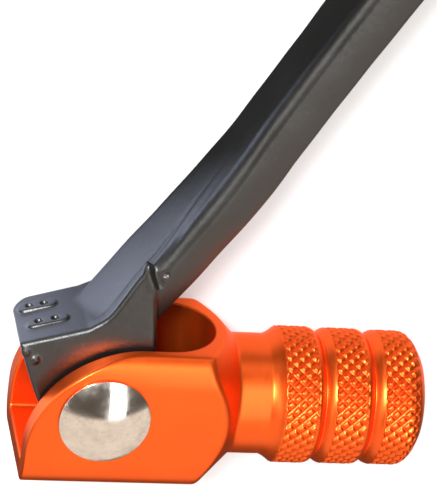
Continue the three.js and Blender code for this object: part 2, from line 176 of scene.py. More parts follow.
def gradient(field, points, step):
    axes = np.eye(3) * step
    return np.stack(
        [(evaluate(field, points + a) - evaluate(field, points - a)) / (2 * step) for a in axes], 1
    )


def settle(field, points, voxel):
    """Moves points on to the field's zero surface."""
    for _ in range(2):
        slope = gradient(field, points, voxel / 4)
        size = np.maximum((slope**2).sum(1), 0.05)
        step = np.clip(evaluate(field, points) / size, -voxel / 2, voxel / 2)
        points = points - slope * step[:, None]
    return points


def cell_key(cells):
    cells = cells + 4
    return (cells[..., 0] * 4096 + cells[..., 1]) * 4096 + cells[..., 2]


def cell_vertices(values, base):
    """One vertex in each cell that the surface passes through."""
    n = BLOCK
    corner = np.stack([values[:, i : i + n, j : j + n, k : k + n] for i, j, k in CORNERS], -1)
    inside = corner < 0
    mixed = inside.any(-1) & ~inside.all(-1)
    where = np.argwhere(mixed)
    v = corner[mixed]
    total, count = np.zeros((len(v), 3)), np.zeros(len(v))
    for a, b in CELL_EDGES:
        crossed = (v[:, a] < 0) != (v[:, b] < 0)
        gap = np.where(crossed, v[:, a] - v[:, b], 1)
        t = np.where(crossed, v[:, a] / gap, 0)
        point = CORNERS[a] + t[:, None] * (CORNERS[b] - CORNERS[a])
        total += point * crossed[:, None]
        count += crossed
    cells = base[where[:, 0]] + where[:, 1:]
    return cells, cells + total / count[:, None]


def cell_quads(values, base):
    """The four cells round each lattice edge that the surface crosses, in facing order."""
    n, quads = BLOCK, []
    low = values[:, :n, :n, :n]
    for axis in range(3):
        shift = [slice(0, n)] * 3
        shift[axis] = slice(1, n + 1)
        high = values[(slice(None), *shift)]
        crossed = (low < 0) != (high < 0)
        where = np.argwhere(crossed)
        edge = base[where[:, 0]] + where[:, 1:]
        a, b = np.eye(3, dtype=int)[(axis + 1) % 3], np.eye(3, dtype=int)[(axis + 2) % 3]
        ring = np.stack([edge - a - b, edge - b, edge, edge - a], 1)
        facing_up = low[crossed] < 0
        quads.append(np.where(facing_up[:, None, None], ring, ring[:, ::-1]))
    return np.concatenate(quads)


def surface_mesh(field, low, high, voxel):
    """Vertices and quads of a field's zero surface, found block by block."""
    low, high = np.array(low, float), np.array(high, float)
    span = voxel * BLOCK
    counts = np.ceil((high - low) / span).astype(int)
    blocks = np.stack(np.meshgrid(*map(np.arange, counts), indexing="ij"), -1).reshape(-1, 3)
    distance = evaluate(field, low + (blocks + 0.5) * span)
    blocks = blocks[np.abs(distance) < 1.25 * span]
    steps = np.arange(BLOCK + 1)
    lattice = np.stack(np.meshgrid(steps, steps, steps, indexing="ij"), -1).reshape(-1, 3)
    cells, vertices, quads = [], [], []
    for batch in np.array_split(blocks, max(1, len(blocks) // 400)):
        base = batch * BLOCK
        points = low + (base[:, None, :] + lattice) * voxel
        values = field(points.reshape(-1, 3)).reshape(len(batch), *[BLOCK + 1] * 3)
        found, spots = cell_vertices(values, base)
        cells.append(found)
        vertices.append(low + spots * voxel)
        quads.append(cell_quads(values, base))
    keys = cell_key(np.concatenate(cells))
    order = np.argsort(keys)
    wanted = cell_key(np.concatenate(quads))
    at = np.clip(np.searchsorted(keys[order], wanted), 0, len(keys) - 1)
    whole = (keys[order][at] == wanted).all(1)
    return settle(field, np.concatenate(vertices), voxel), order[at[whole]]


def metres(points):
    return np.asarray(points) * MM + TIP_ORIGIN


def mesh_object(name, vertices, faces, smooth=True):
    """An object in the row frame from points in the tip's frame. faces is one array or a list of arrays."""
    faces = faces if isinstance(faces, list) else [faces]
    mesh = bpy.data.meshes.new(name)
    flat = np.concatenate([f.ravel() for f in faces]).astype(np.int32)
    sizes = np.concatenate([np.full(len(f), f.shape[1]) for f in faces]).astype(np.int32)
    mesh.vertices.add(len(vertices))
    mesh.vertices.foreach_set("co", metres(vertices).astype(np.float32).ravel())
    mesh.loops.add(len(flat))
    mesh.loops.foreach_set("vertex_index", flat)
    mesh.polygons.add(len(sizes))
    mesh.polygons.foreach_set("loop_start", np.concatenate([[0], np.cumsum(sizes)[:-1]]).astype(np.int32))
    mesh.update(calc_edges=True)
    mesh.validate()
    mesh.polygons.foreach_set("use_smooth", np.full(len(mesh.polygons), smooth))
    obj = bpy.data.objects.new(name, mesh)
    bpy.context.scene.collection.objects.link(obj)
    return obj


def finish_piece(obj, material, slot, body, *nodes):
    obj.data.materials.append(material)
    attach(obj, body)
    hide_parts(*nodes)
    return obj


def revolve(profile, segments, to_point):
    """Closed solid of revolution. profile is a list of (radius, height), with poles at both ends
    or, where the last point repeats the first, a ring."""
    profile = np.array(profile, float)
    is_ring = np.allclose(profile[0], profile[-1])
    rows = profile[:-1] if is_ring else profile[1:-1]
    angles = np.linspace(0, 2 * np.pi, segments, endpoint=False)
    points = np.array([to_point(r, h, angles) for r, h in rows]).reshape(-1, 3)
    grid = np.arange(len(rows) * segments).reshape(len(rows), segments)
    upper = np.roll(grid, -1, axis=0) if is_ring else grid[1:]
    lower = grid if is_ring else grid[:-1]
    quads = np.stack(
        [lower, np.roll(lower, -1, axis=1), np.roll(upper, -1, axis=1), upper], -1
    ).reshape(-1, 4)
    faces = [quads]
    if not is_ring:
        ends = (profile[0, 1], profile[-1, 1])
        poles = np.array([to_point(0, end, angles[:1])[0] for end in ends])
        start, end = len(points), len(points) + 1
        points = np.concatenate([points, poles])
        first, last = grid[0], grid[-1]
        bottom = np.stack([np.full(segments, start), np.roll(first, -1), first], -1)
        top = np.stack([np.full(segments, end), last, np.roll(last, -1)], -1)
        faces += [bottom, top]
    return points, faces


def about_pin(r, h, angles):
    """Circle about the pivot rivet's axis."""
    x, y = PIN[0] + r * np.cos(angles), PIN[1] + r * np.sin(angles)
    return np.stack([x, y, np.full_like(x, h)], -1)


def eased(profile, radius):
    """Rounds the corners of an open profile with short three-point arcs."""
    points = [np.array(p, float) for p in profile]
    result = [points[0]]
    for before, here, after in zip(points, points[1:], points[2:]):
        a, b = before - here, after - here
        reach = min(radius, np.linalg.norm(a) / 2.2, np.linalg.norm(b) / 2.2)
        start, end = here + a / np.linalg.norm(a) * reach, here + b / np.linalg.norm(b) * reach
        for t in (0, 0.33, 0.67, 1):
            result.append((1 - t) ** 2 * start + 2 * t * (1 - t) * here + t * t * end)
    return [*result, points[-1]]


def eased_ring(outer, inner, low, high, radius):
    """Section of a washer or bush with its four corners rounded."""
    middle = (outer + inner) / 2
    corners = [(middle, low), (outer, low), (outer, high), (inner, high), (inner, low), (middle, low)]
    return eased(corners, radius)


# ------------------------------------------------------------------ toe tip
def fork_field(p):
    x, y, z = p.T
    r = np.hypot(y, z)
    turned = both(r - BAR_R, np.abs(z) - BLOCK_T / 2, 1.5)
    cone = (r - BAR_R + x - CONE_START) / np.sqrt(2)
    solid = both(turned, cone, 0.5)
    solid = both(solid, np.abs(y) - BLOCK_H / 2, 0.45)
    solid = both(solid, -x, 0.35)
    reach_x, reach_y = np.minimum(x - RELIEF_X, 0), np.maximum(y - RELIEF_Y, 0)
    q = (reach_x / RELIEF_RX) ** 2 + (reach_y / RELIEF_RY) ** 2
    slope = 2 * np.hypot(reach_x / RELIEF_RX**2, reach_y / RELIEF_RY**2)
    relief = (q - 1) / np.maximum(slope, 0.06)
    solid = both(solid, relief, 0.35)
    slot = both(np.hypot(np.maximum(x - SLOT_END, 0), z) - SLOT_HALF, SLOT_FLOOR - y, 0.8)
    solid = cut(solid, slot, 0.3)
    from_pin = np.hypot(x - PIN[0], y - PIN[1])
    solid = cut(solid, from_pin - PIN_HOLE_R, 0.3)
    recess = both(from_pin - TAIL_RECESS_R, z + BLOCK_T / 2 - TAIL_RECESS, 0.2)
    return cut(solid, recess, 0.4)


def bulged(x0, r0, x1, r1, bulge, count):
    """Points (x, radius) from one station to another on a rounded shoulder."""
    t = np.linspace(0, 1, count + 1)[1:]
    return list(zip(x0 + (x1 - x0) * t, r0 + (r1 - r0) * t + bulge * np.sin(np.pi * t)))


def grip_profile():
    """Radius along the neck and the knurled rings, from inside the cone to the free end."""
    profile = [(NECK_START - 0.4, 6.0), (NECK_START - 0.3, 9.0)]
    profile += bulged(NECK_START - 0.3, 9.0, NECK_START + 0.75, NECK_R, -0.16, 6)
    profile += [(x, NECK_R) for x in np.linspace(NECK_START + 1.2, FLARE_START, 12)]
    profile += bulged(FLARE_START, NECK_R, RINGS[0][0], RINGS[0][2], -0.12, 14)
    for i, (start, end, radius) in enumerate(RINGS):
        profile += [(x, radius) for x in np.arange(start + 0.1, end, 0.1097)]
        if i + 1 < len(RINGS):
            middle = end + GROOVE_RUN
            following, next_radius = RINGS[i + 1][0], RINGS[i + 1][2]
            profile += bulged(end, radius, middle, GROOVE_R, 0.24, 16)
            profile += bulged(middle, GROOVE_R, following, next_radius, 0.17, 12)
    profile += bulged(RINGS[-1][1], RINGS[-1][2], TIP_LENGTH, RINGS[-1][2] - 2.6, 0.62, 26)
    radius = RINGS[-1][2] - 2.6
    profile += [(TIP_LENGTH, radius * f) for f in (0.96, 0.8, 0.6, 0.4, 0.2)]
    profile += [(TIP_LENGTH - 0.25, 1.1), (TIP_LENGTH - 0.9, 0.35)]
    return np.array(profile)


def knurl_share(x):
    """How deep the knurling is at a station: full on the rings, running out at their ends."""
    share = np.zeros(len(x))
    for i, (start, end, _) in enumerate(RINGS):
        run_out = 1.6 if i == len(RINGS) - 1 else 0.55
        rise = np.clip((x - start + 0.12) / 0.22, 0, 1)
        fall = np.clip((end + run_out - x) / 0.3, 0, 1)
        share = np.maximum(share, np.minimum(rise, fall))
    return share


def knurl_depth(x, angle):
    """Two crossing sets of V grooves that leave flat-topped diamonds."""
    pitch = 2 * np.pi * RINGS[0][2] / KNURL_TEETH
    turns = KNURL_TEETH * angle / (2 * np.pi)
    falling, rising = turns + x / pitch, turns - x / pitch
    to_falling = np.abs(falling - np.round(falling))
    to_rising = np.abs(rising - np.round(rising))
    thin = np.clip(1 - to_falling / 0.24, 0, 1) * 0.85
    wide = np.clip(1 - to_rising / 0.33, 0, 1)
    return KNURL_DEPTH * np.maximum(thin, wide)


def grip_mesh():
    profile = grip_profile()
    segments = KNURL_TEETH * 16
    angles = np.linspace(0, 2 * np.pi, segments, endpoint=False)
    x, radius = profile[:, :1], profile[:, 1:]
    depth = knurl_depth(x, angles[None, :]) * knurl_share(profile[:, 0])[:, None]
    r = radius - depth
    points = np.stack([np.broadcast_to(x, r.shape), r * np.sin(angles), r * np.cos(angles)], -1)
    rows = len(profile)
    grid = np.arange(rows * segments).reshape(rows, segments)
    near, far = grid[:-1], grid[1:]
    quads = np.stack([near, far, np.roll(far, -1, 1), np.roll(near, -1, 1)], -1).reshape(-1, 4)
    points = points.reshape(-1, 3)
    poles = np.array([[profile[0, 0], 0, 0], [profile[-1, 0], 0, 0]])
    start, end = len(points), len(points) + 1
    first, last = grid[0], grid[-1]
    inner = np.stack([np.full(segments, start), first, np.roll(first, -1)], -1)
    outer = np.stack([np.full(segments, end), np.roll(last, -1), last], -1)
    return np.concatenate([points, poles]), [quads, np.concatenate([inner, outer])]


def tip_body(material):
    vertices, quads = surface_mesh(fork_field, (-1, -11, -11), (32, 11, 11), FINE)
    grip, (grip_quads, caps) = grip_mesh()
    shift = len(vertices)
    faces = [np.concatenate([quads, grip_quads + shift]), caps + shift]
    obj = mesh_object("toe_tip", np.concatenate([vertices, grip]), faces)
    return finish_piece(obj, material, "tip_anodised", "tip", "tip_body")


# ------------------------------------------------------------------ lever
def boss_outline(top):
    return np.array([
        (5, HEEL_Y), *arc(PIN, BOSS_ROUND_R, -90, 32, 14), (16.7, 10.6), (16, 16),
        *map(tuple, top), (-1.75, 9.9), (-0.5, 5.6), (1.8, 0.6), (3.7, -4.2),
    ])


BOSS_BLOCK = boss_outline([(15.2, 18.6), (13.4, 17.8), (9.8, 13.9), (7.2, 12.6)])
CHEEK_SWEEP = hermite([(14.1, 22.3), (12.6, 19.8), (11.1, 16.9), (9.5, 14.3), (7.2, 12.6)], 14)
BOSS_CHEEK = boss_outline([(15.5, 19.6), *CHEEK_SWEEP])
ARM_LINE = hermite([
    (7.9, 6.8, 0.6), (12.4, 14, 0.6), (19.1, 24, 0.6), (25.5, 34, 0.7), (30.9, 44, 0.8),
    (36.2, 54, 0.9), (42.5, 66, 1.2), (49, 80, 1.5), (54.2, 95, 1.8), (56.8, 110, 2.1),
    (57.5, 122, 2.3), (57.5, 131, 2.4),
], 240)
ARM_RUN = np.concatenate([[0], np.cumsum(np.linalg.norm(np.diff(ARM_LINE, axis=0), axis=1))])
ARM_TANGENT = np.gradient(ARM_LINE, ARM_RUN, axis=0)
ARM_TANGENT /= np.linalg.norm(ARM_TANGENT, axis=1)[:, None]


def smooth_step(value, low, high):
    t = np.clip((value - low) / (high - low), 0, 1)
    return t * t * (3 - 2 * t)


def parting_seam(thick, wide, station):
    """Depth of the trimmed forging seam along the outer face: two furrows with a bead between."""
    line = np.interp(station, (12, 18, 23, 29, 34, 46), (3.2, 2.6, 2.05, 1.1, 0.7, 0.9))
    fade = (thick > 0) * (1 - smooth_step(station, 24, 36))
    furrow = np.exp(-(((wide - line - 0.35) / 0.35) ** 2)) + 0.6 * np.exp(-(((wide - line - 2.0) / 0.5) ** 2))
    bead = np.exp(-(((wide - line - 1.15) / 0.45) ** 2))
    return fade * (0.11 * furrow - 0.03 * bead)


def on_arm(s, table):
    return np.stack([np.interp(s, ARM_RUN, table[:, i]) for i in range(3)], 1)


def arm_field(p):
    """Rounded bar along the arm's centre line, twisted toward the boss."""
    s = np.interp(p[:, 1], ARM_LINE[:, 1], ARM_RUN)
    for _ in range(2):
        s = np.clip(s + ((p - on_arm(s, ARM_LINE)) * on_arm(s, ARM_TANGENT)).sum(1), 0, ARM_RUN[-1])
    tangent = on_arm(s, ARM_TANGENT)
    offset = p - on_arm(s, ARM_LINE)
    past_end = np.abs((offset * tangent).sum(1))
    across = np.stack([-tangent[:, 1], tangent[:, 0], np.zeros(len(p))], 1)
    across /= np.linalg.norm(across, axis=1)[:, None]
    rise = np.cross(tangent, across)
    t = s / ARM_RUN[-1]
    station = np.interp(s, ARM_RUN, ARM_LINE[:, 1])
    twist = ARM_TWIST * (1 - smooth_step(station, *TWIST_RUN))
    a, b = (offset * across).sum(1), (offset * rise).sum(1)
    thick = a * np.cos(twist) + b * np.sin(twist)
    wide = b * np.cos(twist) - a * np.sin(twist)
    half_wide = (ARM_WIDTH[0] + (ARM_WIDTH[1] - ARM_WIDTH[0]) * t) / 2
    half_thick = np.interp(t, (0, 0.35, 1), ARM_THICK) / 2
    corner = np.where((wide > 0) & (thick < 0), 0.5, ARM_CORNER)
    fall = np.where(wide > 0, TOP_FALL * ((thick / half_thick - 0.5) / 1.5) ** 2, 0)
    flat = np.abs(thick) - half_thick + ARM_CROWN * (wide / half_wide) ** 2
    flat = flat + parting_seam(thick, wide, station)
    dw = np.abs(wide) - half_wide + fall + corner
    dt = flat + corner
    section = np.hypot(np.maximum(dw, 0), np.maximum(dt, 0)) + np.minimum(np.maximum(dw, dt), 0)
    return np.maximum(section - corner, past_end - 0.4)


def eased_slab(side, z, middle, half, ease):
    """A flat slab with a given side outline and rounded edges."""
    side, face = side + ease, np.abs(z - middle) - half + ease
    return np.hypot(np.maximum(side, 0), np.maximum(face, 0)) + np.minimum(np.maximum(side, face), 0) - ease


def boss_field(p):
    x, y, z = p.T
    block = eased_slab(polygon(x, y, BOSS_BLOCK), z, 0, BOSS_HALF, 0.8)
    cheek = eased_slab(polygon(x, y, BOSS_CHEEK), z, BOSS_HALF - CHEEK_T / 2, CHEEK_T / 2, 0.8)
    body = np.minimum(block, cheek)
    across = x * np.cos(BOSS_TILT) + y * np.sin(BOSS_TILT) - BOSS_END
    wide_corner = np.hypot(np.minimum(across - 4, 0), np.minimum(z + BOSS_HALF - 4, 0)) - 4
    return both(body, wide_corner, 0.3)


MARK_ALONG = np.array([0.963, 0.268, 0])
MARK_UP = np.array([-0.268, 0.963, 0])


def forging_marks(p, solid):
    """Two raised pads with punched dots on the boss, drips of coating and a forging lap."""
    for along, depth, length in ((3.4, -2.6, 1.7), (4.3, 1.9, 1.9)):
        centre = np.array([-1.75, 9.9, depth]) + MARK_ALONG * along
        pad = capsule(p, centre - MARK_ALONG * length, centre + MARK_ALONG * length, 1.05)
        height = np.abs((p - centre) @ MARK_UP) - 0.48
        solid = union(solid, both(pad, height, 0.25), 0.3)
        for side in (-1, 1):
            dot = centre + MARK_ALONG * side * length * 0.6 + MARK_UP * 0.5
            solid = cut(solid, np.linalg.norm(p - dot, axis=1) - 0.55, 0.2)
    for spot, radius in (((-0.75, 8.75, 6.0), 0.55), ((0.5, 7.7, 6.05), 0.62)):
        solid = union(solid, np.linalg.norm(p - np.array(spot), axis=1) - radius, 0.5)
    solid = union(solid, capsule(p, (14.1, 21.9, 5.5), (15.0, 19.4, 5.6), 0.55), 0.8)
    solid = cut(solid, capsule(p, (14.9, 22.4, 6.5), (16.0, 19.6, 6.2), 0.5), 0.45)
    return cut(solid, capsule(p, (15.6, 20.9, 6.4), (16.7, 21.2, 6.1), 0.3), 0.35)


def pivot_cuts(p, solid):
    from_pin = np.hypot(p[:, 0] - PIN[0], p[:, 1] - PIN[1])
    solid = cut(solid, from_pin - BUSH_R - 0.06, 0.3)
    pocket = both(from_pin - SPRING_POCKET_R, p[:, 2] + BOSS_HALF - SPRING_POCKET_DEPTH)
    return cut(solid, pocket, 0.3)


def hub_field(p):
    x, y, z = (p - HUB).T
    r = np.hypot(y, z)
    barrel = both(r - HUB_R, np.abs(x) - HUB_LENGTH / 2, 0.9)
    barrel = both(barrel, (r - HUB_R + np.abs(x) - HUB_LENGTH / 2 + 1.1) / np.sqrt(2), 0.5)
    from_bolt = np.hypot(x, y - CLAMP_Y)
    lug = np.hypot(x, np.maximum(y - CLAMP_Y, 0)) - CLAMP_R
    lug = both(both(lug, np.abs(z) - CLAMP_HALF, 1.2), 4 - y, 0.5)
    solid = union(barrel, lug, 1.4)
    angle = np.arctan2(z, y) * BORE_TEETH / (2 * np.pi)
    tooth = np.abs(angle - np.round(angle)) * 2
    bore = (r - BORE_ROOT_R + (BORE_ROOT_R - BORE_TIP_R) * tooth) * 0.8
    lead = (r - BORE_TIP_R + HUB_LENGTH / 2 - 1.4 - np.abs(x)) / np.sqrt(2)
    bore = np.minimum(bore, np.maximum(lead, r - BORE_ROOT_R - 1.3))
    bore = np.where(np.abs(x) > HUB_LENGTH / 2 - 3, bore, np.maximum(bore, -50))
    solid = cut(solid, bore, 0.15)
    solid = cut(solid, both(np.abs(z) - CLAMP_GAP / 2, -y), 0.3)
    solid = cut(solid, np.maximum(from_bolt - 3.3, -z), 0.4)
    solid = cut(solid, np.maximum(from_bolt - 3.15, z), 0.4)
    return cut(solid, np.maximum(from_bolt - SPOT_FACE_R, CLAMP_HALF - z), 0.6)


def lever_field(p):
    solid = arm_field(p) + waviness(p, 0.05, 11, 3)
    low = p[:, 1] < 33
    if low.any():
        q = p[low]
        boss = boss_field(q) + waviness(q, 0.03, 9, 5)
        joined = forging_marks(q, union(solid[low], boss, 0.5))
        solid[low] = pivot_cuts(q, joined)
    high = p[:, 1] > HUB[1] - 26
    if high.any():
        q = p[high]
        hub = hub_field(q)
        r = np.hypot(q[:, 1] - HUB[1], q[:, 2] - HUB[2])
        outside = np.maximum(solid[high], HUB_R - 3 - r)
        solid[high] = union(hub, outside, 3.0)
        keep_open = np.maximum(r - BORE_ROOT_R - 1.5, 0)
        solid[high] = np.where(keep_open > 0, solid[high], hub)
    return solid


def lever(material):
    low, high = ((np.array(corner) - TIP_ORIGIN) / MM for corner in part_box("lever_arm"))
    vertices, quads = surface_mesh(lever_field, low - 1, high + 1, FINE * 1.15)
    obj = mesh_object("forged_lever", vertices, quads)
    return finish_piece(obj, material, "lever_paint", "lever", "lever_arm")


# ------------------------------------------------------------------ pivot and clamp parts
def rivet(material):
    top = BLOCK_T / 2 + 0.02
    tail = -BLOCK_T / 2 + 0.1
    sphere = (HEAD_R**2 + (HEAD_H - 0.35) ** 2) / (2 * (HEAD_H - 0.35))
    radii = HEAD_R * np.cos(np.linspace(0, np.pi / 2, 26))[1:-1]
    dome = [(r, top + HEAD_H - sphere + np.sqrt(sphere**2 - r * r)) for r in radii]
    lower = [(0, tail), (3.7, tail), (4.3, tail + 0.3), (4.3, tail + 0.75), (SHANK_R, tail + 0.75),
             (SHANK_R, top), (HEAD_R - 0.1, top), (HEAD_R, top + 0.12), (HEAD_R, top + 0.3), dome[0]]
    profile = [*eased(lower, 0.12), *dome[1:], (0, top + HEAD_H)]
    vertices, faces = revolve(profile, 160, about_pin)
    obj = mesh_object("domed_rivet", vertices, faces)
    return finish_piece(obj, material, "rivet_steel", "tip", "pivot_rivet")


def ring_piece(name, node, material, slot, body, outer, inner, low, high, corner=0.12):
    vertices, faces = revolve(eased_ring(outer, inner, low, high, corner), 96, about_pin)
    return finish_piece(mesh_object(name, vertices, faces), material, slot, body, node)


def pivot_rings(steel, bronze):
    seat = -BLOCK_T / 2 + TAIL_RECESS
    ring_piece("tail_washer", "rivet_washer", steel, "washer_steel", "tip",
               TAIL_RECESS_R - 0.2, SHANK_R + 0.1, seat - 0.67, seat - 0.03)
    ring_piece("bronze_bush", "pivot_bush", bronze, "bush_bronze", "lever",
               BUSH_R, SHANK_R + 0.06, -BOSS_HALF + SPRING_POCKET_DEPTH + 0.05, BOSS_HALF, 0.3)
    middle = (SLOT_HALF + BOSS_HALF) / 2
    for name, side, outer in (("upper", 1, 6.6), ("lower", -1, 4.6)):
        ring_piece(f"{name}_shim", f"thrust_washer_{name}", steel, "washer_steel", "lever", outer,
                   SHANK_R + 0.2, side * middle - WASHER_T / 2, side * middle + WASHER_T / 2)


def tube(name, path, radius, sides=14):
    """A closed tube along a path that has no sharp corners."""
    path = np.array(path)
    tangent = np.gradient(path, axis=0)
    tangent /= np.linalg.norm(tangent, axis=1)[:, None]
    outward = path - np.array([PIN[0], PIN[1], 0])
    outward[:, 2] = 0
    side = outward - (outward * tangent).sum(1)[:, None] * tangent
    side /= np.linalg.norm(side, axis=1)[:, None]
    other = np.cross(tangent, side)
    angles = np.linspace(0, 2 * np.pi, sides, endpoint=False)[None, :, None]
    ring = path[:, None] + radius * (np.cos(angles) * side[:, None] + np.sin(angles) * other[:, None])
    grid = np.arange(len(path) * sides).reshape(len(path), sides)
    near, far = grid[:-1], grid[1:]
    quads = np.stack([near, np.roll(near, -1, 1), np.roll(far, -1, 1), far], -1).reshape(-1, 4)
    points = np.concatenate([ring.reshape(-1, 3), path[:1], path[-1:]])
    start, end = len(points) - 2, len(points) - 1
    caps = np.concatenate([
        np.stack([np.full(sides, start), np.roll(grid[0], -1), grid[0]], -1),
        np.stack([np.full(sides, end), grid[-1], np.roll(grid[-1], -1)], -1),
    ])
    return mesh_object(name, points, [quads, caps])


def spring(material):
    bottom = -SLOT_HALF + 1.15
    top = -BOSS_HALF + SPRING_POCKET_DEPTH - SPRING_WIRE_R - 0.25
    start = np.radians(-60)
    turn = np.linspace(0, 1, 340)
    angle = start + turn * SPRING_TURNS * 2 * np.pi
    height = bottom + (top - bottom) * turn
    coil = np.stack([PIN[0] + SPRING_R * np.cos(angle), PIN[1] + SPRING_R * np.sin(angle), height], 1)
    leg = np.linspace(2.2, 0.5, 8)[:, None] * np.array([[0, 0, 1]])
    path = np.concatenate([coil[0] - leg, coil, coil[-1] + leg[::-1]])
    obj = tube("return_spring_wire", path, SPRING_WIRE_R)
    return finish_piece(obj, material, "spring_steel", "lever", "return_spring")


def bolt_field(p):
    x, y, z = (p - HUB - np.array([0, CLAMP_Y, 0])).T
    seat = CLAMP_HALF + 1.3
    head_top = seat + 5.7
    r = np.hypot(x, y)
    hexagon = np.max([np.abs(x * np.cos(a) + y * np.sin(a)) for a in np.radians((30, 90, 150))], 0) - 4.0
    head = both(both(hexagon, z - head_top, 0.3), seat - z)
    head = both(head, (r - 4.25 + (z - head_top) * 1.7) / 2, 0.2)
    flange_disc = both(r - 6, np.maximum(seat - z, z - seat - 1.7))
    flange = both(flange_disc, (z - seat - 0.5 + (r - 6) * 0.65) / 1.2, 0.3)
    body = union(head, flange, 0.5)
    body = cut(body, both(r - 2.6 + (z - head_top) * 0.4, head_top - 0.7 - z), 0.3)
    turn = z / 1.0 - np.arctan2(y, x) / (2 * np.pi)
    crest = np.abs(turn - np.round(turn)) * 2
    threaded = np.clip((3.5 - z) / 1.0, 0, 1)
    shank = (r - 3 + 0.32 * crest * threaded) * 0.85
    shank = both(shank, np.maximum(-CLAMP_HALF + 0.5 - z, z - seat - 0.5), 0.1)
    shank = both(shank, (r - 3 - CLAMP_HALF + 1.1 - z) / np.sqrt(2), 0.1)
    return union(body, shank, 0.3)


def pinch_parts(steel, washer_steel):
    low, high = ((np.array(c) - TIP_ORIGIN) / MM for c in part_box("pinch_bolt"))
    vertices, quads = surface_mesh(bolt_field, low - 0.6, high + 0.6, FINE * 0.8)
    obj = mesh_object("clamp_bolt", vertices, quads)
    finish_piece(obj, steel, "bolt_steel", "lever", "pinch_bolt")

    def about_bolt(r, h, angles):
        x, y = HUB[0] + r * np.cos(angles), HUB[1] + CLAMP_Y + r * np.sin(angles)
        return np.stack([x, y, np.full_like(x, HUB[2] + h)], -1)

    section = eased_ring(5.9, 3.2, CLAMP_HALF + 0.05, CLAMP_HALF + 1.25, 0.2)
    vertices, faces = revolve(section, 96, about_bolt)
    obj = mesh_object("clamp_washer", vertices, faces)
    finish_piece(obj, washer_steel, "washer_steel", "lever", "pinch_washer")


# ------------------------------------------------------------------ materials
class Nodes:
    """Short calls for building a node tree round one Principled shader."""

    def __init__(self, name):
        self.material = bpy.data.materials.new(name)
        self.material.use_nodes = True
        self.tree = self.material.node_tree
        self.shader = self.tree.nodes["Principled BSDF"]
        self.place = self.tree.nodes.new("ShaderNodeTexCoord").outputs["Object"]

    def add(self, kind, **settings):
        node = self.tree.nodes.new(kind)
        for key, value in settings.items():
            if key in node.inputs:
                self.give(value, node.inputs[key])
            else:
                setattr(node, key, value)
        return node

    def give(self, value, socket):
        if isinstance(value, bpy.types.NodeSocket):
            self.tree.links.new(value, socket)
        else:
            socket.default_value = value

    def noise(self, scale, detail=3.0, stretch=(1, 1, 1), roughness=0.5):
        mapping = self.add("ShaderNodeMapping", Vector=self.place)
        mapping.inputs["Scale"].default_value = stretch
        return self.add(
            "ShaderNodeTexNoise", Vector=mapping.outputs["Vector"], Scale=scale, Detail=detail,
            Roughness=roughness,
        ).outputs["Fac"]

    def pool(self, centre, reach):
        """1 at the centre, falling evenly to 0 at the reach along each axis."""
        here = self.add("ShaderNodeMapping", Vector=self.place)
        here.inputs["Location"].default_value = [-c / r for c, r in zip(centre, reach)]
        here.inputs["Scale"].default_value = [1 / r for r in reach]
        ball = self.add("ShaderNodeTexGradient", gradient_type="SPHERICAL", Vector=here.outputs["Vector"])
        return ball.outputs["Fac"]

    def cells(self, scale):
        return self.add("ShaderNodeTexVoronoi", Vector=self.place, Scale=scale)

    def spread(self, value, low, high, from_low=0.0, from_high=1.0):
        node = self.add("ShaderNodeMapRange", Value=value)
        limits = {"From Min": from_low, "From Max": from_high, "To Min": low, "To Max": high}
        for key, number in limits.items():
            node.inputs[key].default_value = number
        return node.outputs["Result"]

    def ramp(self, value, *stops):
        node = self.add("ShaderNodeValToRGB", Fac=value)
        elements = node.color_ramp.elements
        while len(elements) < len(stops):
            elements.new(0.5)
        for element, (position, colour) in zip(elements, stops):
            element.position, element.color = position, (*colour, 1)
        return node.outputs["Color"]

    def bump(self, height, strength, distance, below=None):
        node = self.add("ShaderNodeBump", Height=height, Strength=strength, Distance=distance)
        if below is not None:
            self.give(below, node.inputs["Normal"])
        return node.outputs["Normal"]

    def shade(self, **settings):
        for key, value in settings.items():
            self.give(value, self.shader.inputs[key.replace("_", " ")])
        return self.material


def black_powder_coat():
    """Satin black coating over a forging: orange peel, fine grit and faint mottling."""
    n = Nodes("black_powder_coat")
    peel = n.bump(n.noise(900, 2.0), 0.10, 0.0004)
    grit = n.bump(n.noise(4200, 4.0, roughness=0.7), 0.16, 0.00012, peel)
    mottle = n.noise(140, 4.0)
    colour = n.ramp(mottle, (0.3, (0.0024, 0.0024, 0.0020)), (0.7, (0.005, 0.005, 0.0042)))
    return n.shade(Base_Color=colour, Roughness=n.spread(mottle, 0.31, 0.40, 0.3, 0.7), Normal=grit,
                   Specular_IOR_Level=1.0)


def orange_anodised():
    """Satin orange anodised aluminium: clear oxide over metal, with faint cutter marks, and painted shade
    darkening the inside of the clevis slot.
    """
    n = Nodes("orange_anodised")
    turning = n.noise(1100, 2.0, (6.0, 0.25, 0.25))
    cloud = n.noise(90, 3.0)
    grain = n.noise(6500, 2.0)
    normal = n.bump(grain, 0.06, 0.00008, n.bump(turning, 0.03, 0.00012))
    colour = n.ramp(cloud, (0.3, (0.97, 0.122, 0.012)), (0.7, (1.0, 0.138, 0.014)))
    # Painted shade: inside an ellipsoid in the clevis slot the colour is multiplied dark, standing in for the
    # shade in the pocket.
    slot = n.pool((-0.0465, -0.134, -0.0024), (0.014, 0.0138, 0.0076))
    slot_painted_shade = n.add("ShaderNodeVectorMath", operation="MULTIPLY")
    n.give(colour, slot_painted_shade.inputs[0])
    n.give(n.ramp(slot, (0.0, (1, 1, 1)), (0.12, (0.10, 0.06, 0.08))), slot_painted_shade.inputs[1])
    return n.shade(
        Base_Color=slot_painted_shade.outputs["Vector"], Metallic=0.92, Roughness=n.spread(turning, 0.32, 0.41, 0.3, 0.7),
        Normal=normal, Specular_Tint=(1.0, 0.55, 0.4, 1), Coat_Weight=0.25, Coat_Roughness=0.3,
    )


